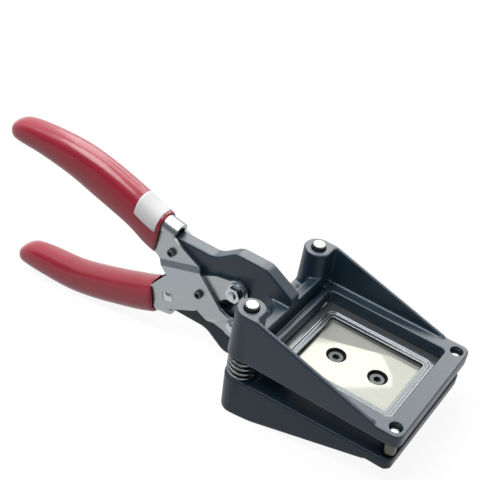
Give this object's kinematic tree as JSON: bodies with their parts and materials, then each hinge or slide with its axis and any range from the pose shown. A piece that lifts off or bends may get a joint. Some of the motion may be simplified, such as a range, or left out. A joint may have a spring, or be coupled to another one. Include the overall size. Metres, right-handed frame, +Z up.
{
  "type": "pvc id card cutter",
  "caption": "Plier-type card die cutter: crossed red-gripped levers press a framed die down on guide posts over a rectangular punch, with return springs.",
  "frame": {"origin": "middle of the punch's top face, where the card lies, under the middle of the die's window", "axes": "+X towards the open front of the jaws, handles at -X, +Y to the tool's left, +Z up from punch to die"},
  "size_m": [0.2333, 0.0682, 0.0878],
  "materials": {
    "jaw_enamel": "gloss black enamel",
    "lever_plate": "bright zinc plate",
    "grip_vinyl": "glossy red dipped vinyl",
    "label_paper": "satin white paper",
    "ground_steel": "lapped tool steel",
    "guide_steel": "polished",
    "spring_steel": "bright wire",
    "screw_steel": "zinc plate",
    "black_pin": "black oxide"
  },
  "bodies": {
    "lower_head": {"lower_jaw": "jaw_enamel", "punch_block": "ground_steel", "punch_screw_front": "screw_steel", "punch_screw_rear": "screw_steel", "guide_post_left": "guide_steel", "guide_post_right": "guide_steel", "front_pin_left": "guide_steel", "front_pin_right": "guide_steel", "front_rivet": "screw_steel", "spring_left": "spring_steel", "spring_right": "spring_steel"},
    "upper_head": {"upper_jaw": "jaw_enamel", "die_plate": "ground_steel", "die_screws": "screw_steel", "front_bolt": "screw_steel", "front_nut": "screw_steel", "front_washer": "screw_steel"},
    "upper_handle": {"upper_lever": "lever_plate", "upper_grip": "grip_vinyl", "grip_label": "label_paper", "rear_pin_upper": "black_pin", "centre_pivot": "black_pin"},
    "lower_handle": {"lower_lever": "lever_plate", "lower_grip": "grip_vinyl", "rear_pin_lower": "screw_steel"}
  },
  "joints": [
    {"name": "head_slide", "type": "slide", "parent": "lower_head", "child": "upper_head", "axis": [0, 0, 1], "range_m": [-0.005, 0], "stiffness_N_per_m": 11000, "springref_m": 0.003, "deforming": ["spring_left", "spring_right"]},
    {"name": "upper_lever_hinge", "type": "hinge", "parent": "lower_head", "child": "upper_handle", "pos_m": [-0.0605, 0, -0.012], "axis": [0, -1, 0], "range_deg": [0, 7.7]},
    {"name": "lower_lever_hinge", "type": "hinge", "parent": "upper_head", "child": "lower_handle", "pos_m": [-0.0605, 0, 0.0096], "axis": [0, 1, 0], "range_deg": [0, 7.7]}
  ],
  "couplings": [
    {"joint": "upper_lever_hinge", "follows": "head_slide", "rad_per_m": -26.783},
    {"joint": "lower_lever_hinge", "follows": "head_slide", "rad_per_m": -26.783}
  ]
}
